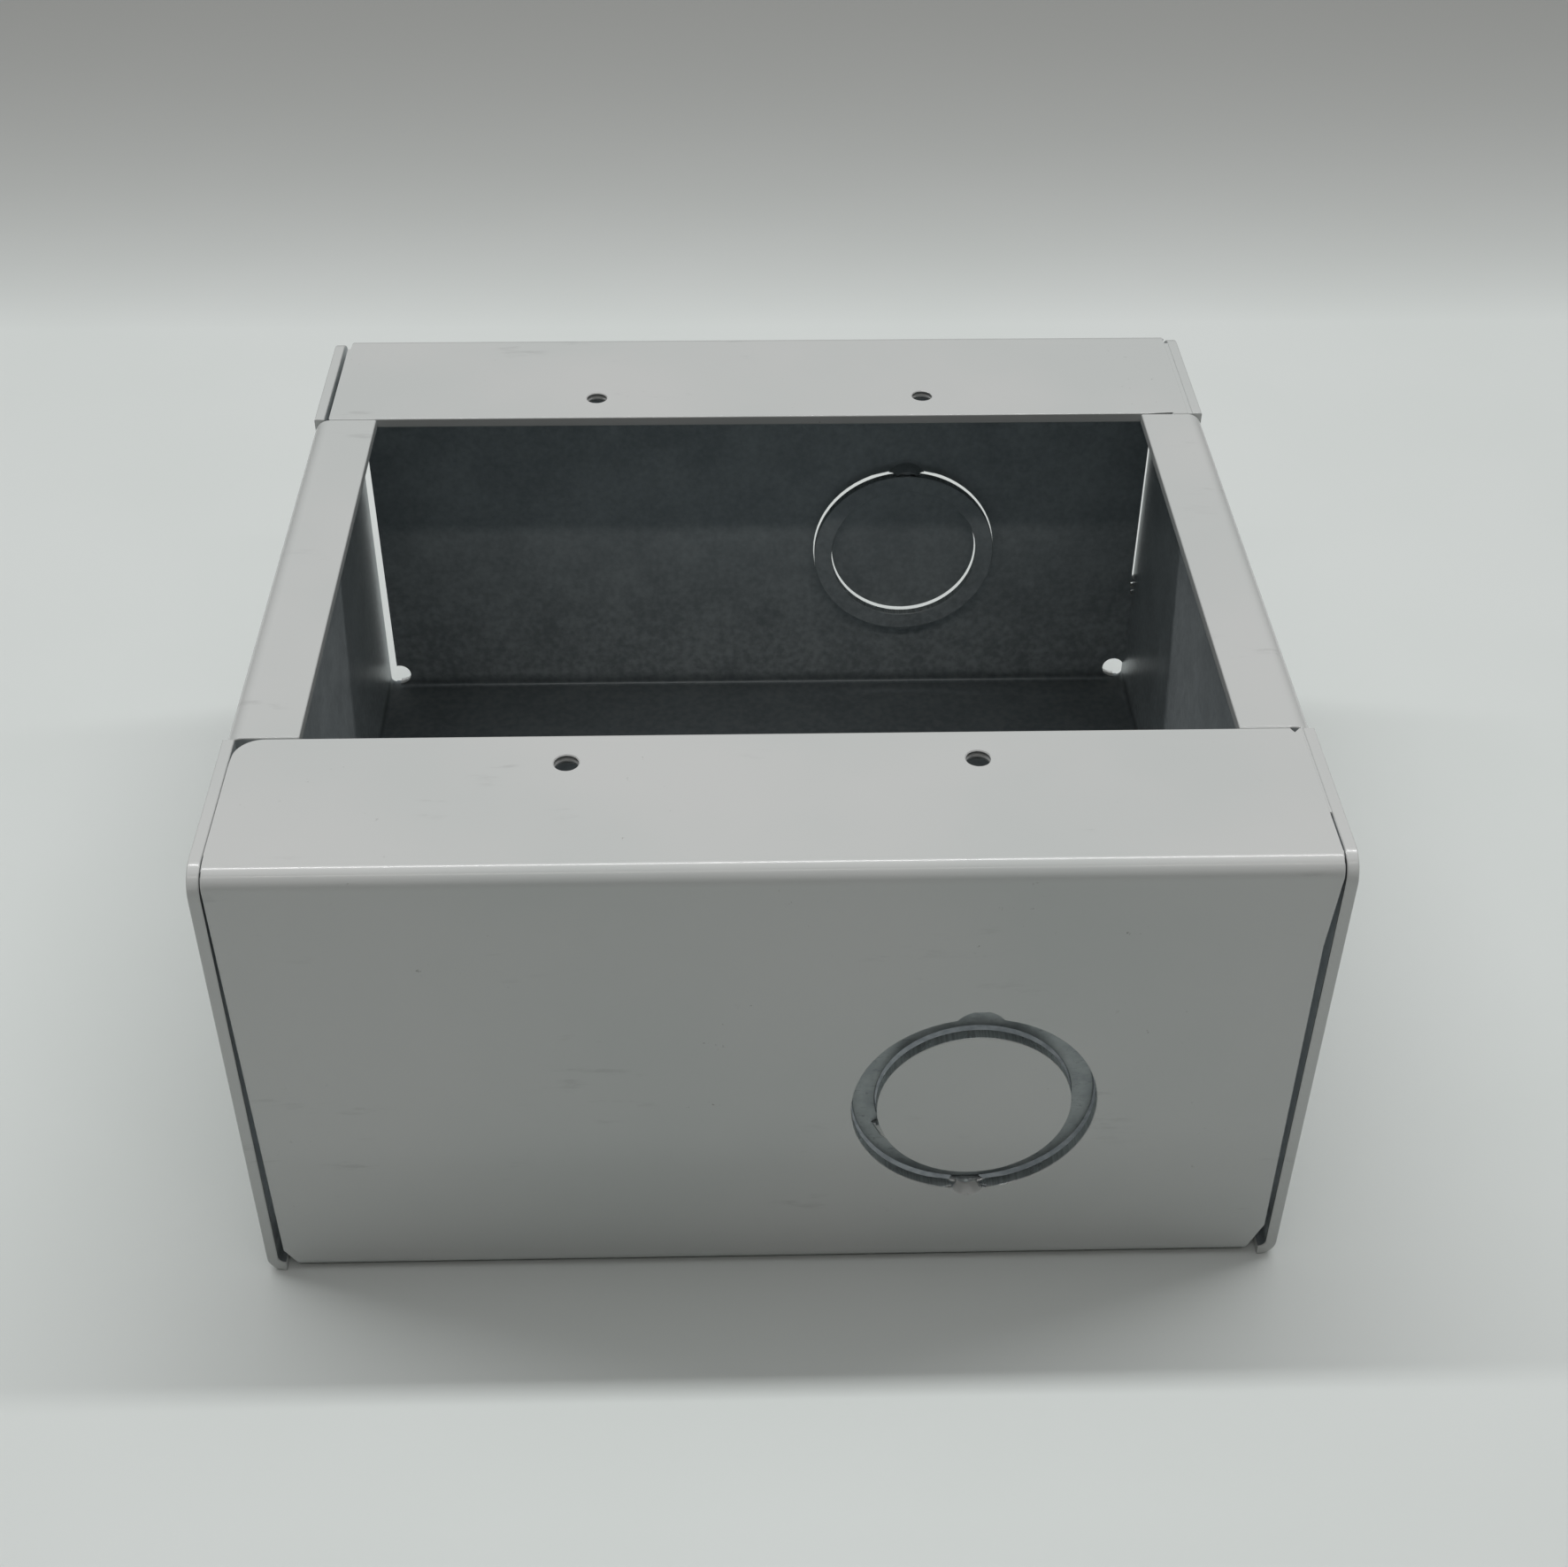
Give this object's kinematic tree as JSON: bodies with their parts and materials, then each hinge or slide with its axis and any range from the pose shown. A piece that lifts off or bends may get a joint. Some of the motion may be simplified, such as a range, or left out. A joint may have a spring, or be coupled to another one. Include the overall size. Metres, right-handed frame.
{
  "type": "residential load center enclosure",
  "caption": "Empty folded-steel back box with return flanges, tapped device screw holes and a concentric knockout in its front and back walls.",
  "frame": {"origin": "centre of the base's underside", "axes": "+Z out of the open face, -Y towards the front wall, +X towards the knockouts' side"},
  "size_m": [0.124, 0.121, 0.064],
  "materials": {
    "enclosure_finish": "satin powder coat outside, bare galvanised steel inside",
    "knockout_ring": "thin coat over galvanised steel, burnished shear edges",
    "knockout_disc": "satin powder coat outside, bare galvanised steel inside",
    "weld_fill": "ground flush and painted"
  },
  "bodies": {
    "enclosure": {"enclosure_body": "enclosure_finish", "front_right_weld": "weld_fill", "back_right_weld": "weld_fill"},
    "front_ring": {"front_knockout_ring": "knockout_ring"},
    "front_disc": {"front_knockout_disc": "knockout_disc"},
    "back_ring": {"back_knockout_ring": "knockout_ring"},
    "back_disc": {"back_knockout_disc": "knockout_disc"}
  },
  "joints": [
    {"name": "front_ring_twist", "type": "hinge", "parent": "enclosure", "child": "front_ring", "pos_m": [0.023, -0.0579, 0.0274], "axis": [0, 0, 1], "range_deg": [0, 35]},
    {"name": "front_disc_swing", "type": "hinge", "parent": "front_ring", "child": "front_disc", "pos_m": [0.01237, -0.0586, 0.02221], "axis": [0.4384, 0, -0.8988], "range_deg": [0, 75]},
    {"name": "back_ring_twist", "type": "hinge", "parent": "enclosure", "child": "back_ring", "pos_m": [0.023, 0.0579, 0.0274], "axis": [0, 0, -1], "range_deg": [0, 35]},
    {"name": "back_disc_swing", "type": "hinge", "parent": "back_ring", "child": "back_disc", "pos_m": [0.01493, 0.0586, 0.03605], "axis": [0.7314, 0, 0.682], "range_deg": [0, 75]}
  ]
}
